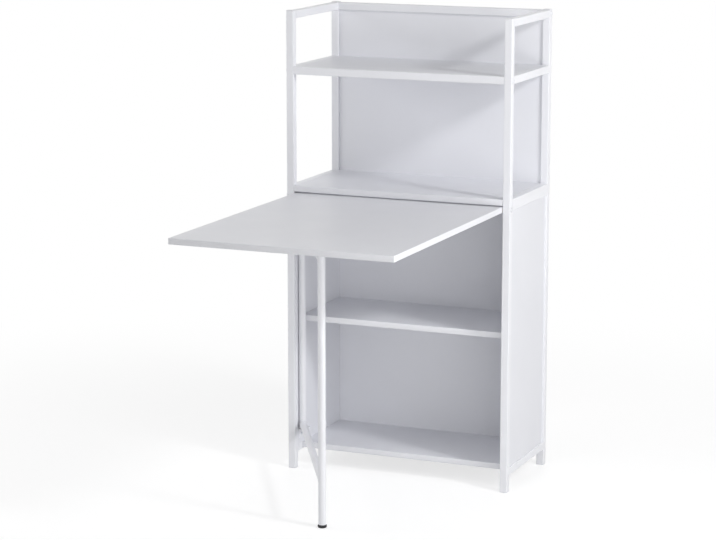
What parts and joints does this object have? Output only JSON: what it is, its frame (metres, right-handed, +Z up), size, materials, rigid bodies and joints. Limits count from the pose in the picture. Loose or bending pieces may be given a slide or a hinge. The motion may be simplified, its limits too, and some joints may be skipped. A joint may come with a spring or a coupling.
{
  "type": "folding desk",
  "caption": "Free-standing desk with a tube frame, open hutch shelves, a cabinet below, a hinged drop-front desktop and a swinging gate leg.",
  "frame": {"origin": "middle of the footprint at floor level, with the desktop level and the gate leg swung out as in the picture", "axes": "+Z up, +X to the right of a person who sits at the desk, +Y to the back"},
  "size_m": [0.6246, 1.023, 1.22],
  "materials": {
    "frame_paint": "fine smooth white powder coat, satin",
    "board_white": "white melamine-faced board, low sheen",
    "desktop_white": "white melamine-faced board, low sheen",
    "edge_band_white": "white edge band, satin",
    "plastic_white": "moulded white plastic",
    "glide_black": "moulded black plastic",
    "zinc_steel": "bright zinc plate",
    "bolt_white": "white enamelled bolt head",
    "nylon_natural": "natural nylon",
    "dowel_wood": "plain beech dowel"
  },
  "bodies": {
    "frame": {"left_front_post": "frame_paint", "left_rear_post": "frame_paint", "left_top_rail": "frame_paint", "left_shelf_rail": "frame_paint", "left_desk_rail": "frame_paint", "left_bottom_rail": "frame_paint", "left_side_panel": "board_white", "right_front_post": "frame_paint", "right_rear_post": "frame_paint", "right_top_rail": "frame_paint", "right_shelf_rail": "frame_paint", "right_desk_rail": "frame_paint", "right_bottom_rail": "frame_paint", "right_side_panel": "board_white", "rear_top_rail": "frame_paint", "upper_shelf_front_rail": "frame_paint", "upper_shelf_tabs": "frame_paint", "cabinet_top_tabs": "frame_paint", "bottom_board_tabs": "frame_paint", "back_lugs": "frame_paint", "lower_pivot_bracket": "frame_paint", "upper_pivot_bracket": "frame_paint", "upper_shelf": "board_white", "cabinet_top_board": "board_white", "middle_shelf": "board_white", "bottom_board": "board_white", "upper_back_panel": "board_white", "lower_back_panel": "board_white", "post_caps": "plastic_white", "post_feet": "plastic_white", "cross_rail_bolts": "bolt_white", "cross_rail_nut_plugs": "zinc_steel", "tab_screws": "zinc_steel", "back_lug_screws": "zinc_steel", "panel_screws": "zinc_steel", "shelf_pins": "zinc_steel", "bracket_screws": "zinc_steel", "gate_pivot_pins": "zinc_steel", "panel_dowels": "dowel_wood", "shelf_edge_bands": "edge_band_white", "pivot_bushes": "nylon_natural"},
    "desktop": {"desktop": "desktop_white", "desktop_long_bands": "edge_band_white", "desktop_side_bands": "edge_band_white", "pivot_inserts": "zinc_steel", "pivot_bolts": "bolt_white"},
    "gate_leg": {"gate_stile": "frame_paint", "gate_leg": "frame_paint", "gate_top_rail": "frame_paint", "gate_bottom_rail": "frame_paint", "gate_leg_cap": "plastic_white", "gate_leg_insert": "plastic_white", "gate_leg_glide": "glide_black", "gate_bushes": "nylon_natural"}
  },
  "joints": [
    {"name": "gate_leg_swing", "type": "hinge", "parent": "frame", "child": "gate_leg", "pos_m": [-0.2787, 0.229, 0.1073], "axis": [0, 0, -1], "range_deg": [-60.7, 29.3]},
    {"name": "desktop_hinge", "type": "hinge", "parent": "frame", "child": "desktop", "pos_m": [0, 0.211, 0.7375], "axis": [-1, 0, 0], "range_deg": [0, 15]}
  ]
}
